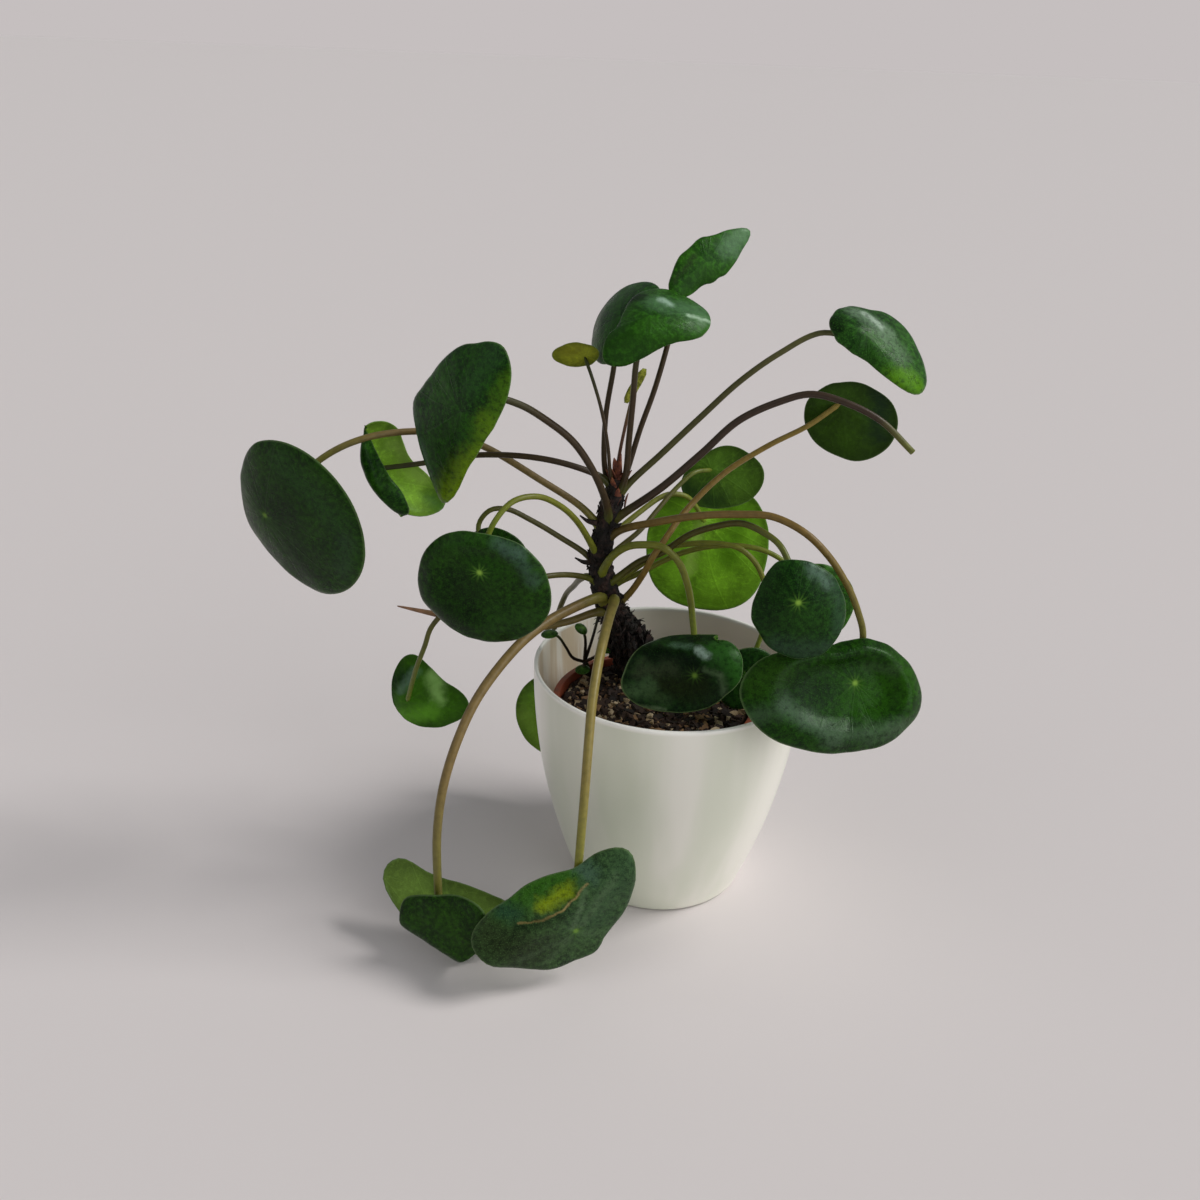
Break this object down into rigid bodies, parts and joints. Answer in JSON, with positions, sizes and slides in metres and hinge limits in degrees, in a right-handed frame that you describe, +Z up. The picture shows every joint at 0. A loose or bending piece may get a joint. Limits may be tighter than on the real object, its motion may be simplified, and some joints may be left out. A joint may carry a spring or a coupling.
{
  "type": "potted pilea plant",
  "caption": "Round-leaved pilea with a leaning bare trunk and long leaf stalks, in a nursery pot of soil inside a smooth white flared outer pot.",
  "frame": {"origin": "centre of the outer pot's flat base, on the surface that it stands on", "axes": "+Z up; +X to the right and +Y away from the viewer, as the picture shows the plant from the front"},
  "size_m": [0.3682, 0.2104, 0.3781],
  "materials": {
    "pot_glaze": "satin white glaze, smooth and plain",
    "nursery_plastic": "thin terracotta-brown moulded plastic",
    "soil": "dark crumbly potting mix with bark chips and pale grit",
    "bark": "rough, dark grey-brown, ringed with leaf scars",
    "bud": "papery red-brown stipules",
    "leaf_green": "smooth and glossy dark green above, brighter green below",
    "stalk": "smooth satin, tan and olive to purple-brown",
    "young_green": "fresh yellow-green",
    "pup_green": "fresh green blades on dark thin stalks"
  },
  "bodies": {
    "root": {"outer_pot": "pot_glaze", "nursery_pot": "nursery_plastic", "soil": "soil", "trunk": "bark", "growing_point": "bud", "leaf_01_blade": "leaf_green", "leaf_01_stalk": "stalk", "leaf_02_blade": "leaf_green", "leaf_02_stalk": "stalk", "leaf_03_blade": "leaf_green", "leaf_03_stalk": "stalk", "leaf_04_blade": "leaf_green", "leaf_04_stalk": "stalk", "leaf_05_blade": "leaf_green", "leaf_05_stalk": "stalk", "leaf_06_blade": "leaf_green", "leaf_06_stalk": "stalk", "leaf_07_blade": "leaf_green", "leaf_07_stalk": "stalk", "leaf_08_blade": "leaf_green", "leaf_08_stalk": "stalk", "leaf_09_blade": "leaf_green", "leaf_09_stalk": "stalk", "leaf_10_blade": "leaf_green", "leaf_10_stalk": "stalk", "leaf_11_blade": "leaf_green", "leaf_11_stalk": "stalk", "leaf_12_blade": "leaf_green", "leaf_12_stalk": "stalk", "leaf_13_blade": "leaf_green", "leaf_13_stalk": "stalk", "leaf_14_blade": "leaf_green", "leaf_14_stalk": "stalk", "leaf_15_blade": "leaf_green", "leaf_15_stalk": "stalk", "leaf_16_blade": "leaf_green", "leaf_16_stalk": "stalk", "leaf_17_blade": "leaf_green", "leaf_17_stalk": "stalk", "leaf_18_blade": "leaf_green", "leaf_18_stalk": "stalk", "leaf_19_blade": "leaf_green", "leaf_19_stalk": "stalk", "leaf_20_blade": "leaf_green", "leaf_20_stalk": "stalk", "leaf_21_blade": "leaf_green", "leaf_21_stalk": "stalk", "leaf_22_blade": "leaf_green", "leaf_22_stalk": "stalk", "young_leaf": "young_green", "pup": "pup_green", "stalk_dry": "stalk", "stalk_cut": "stalk"}
  },
  "joints": []
}
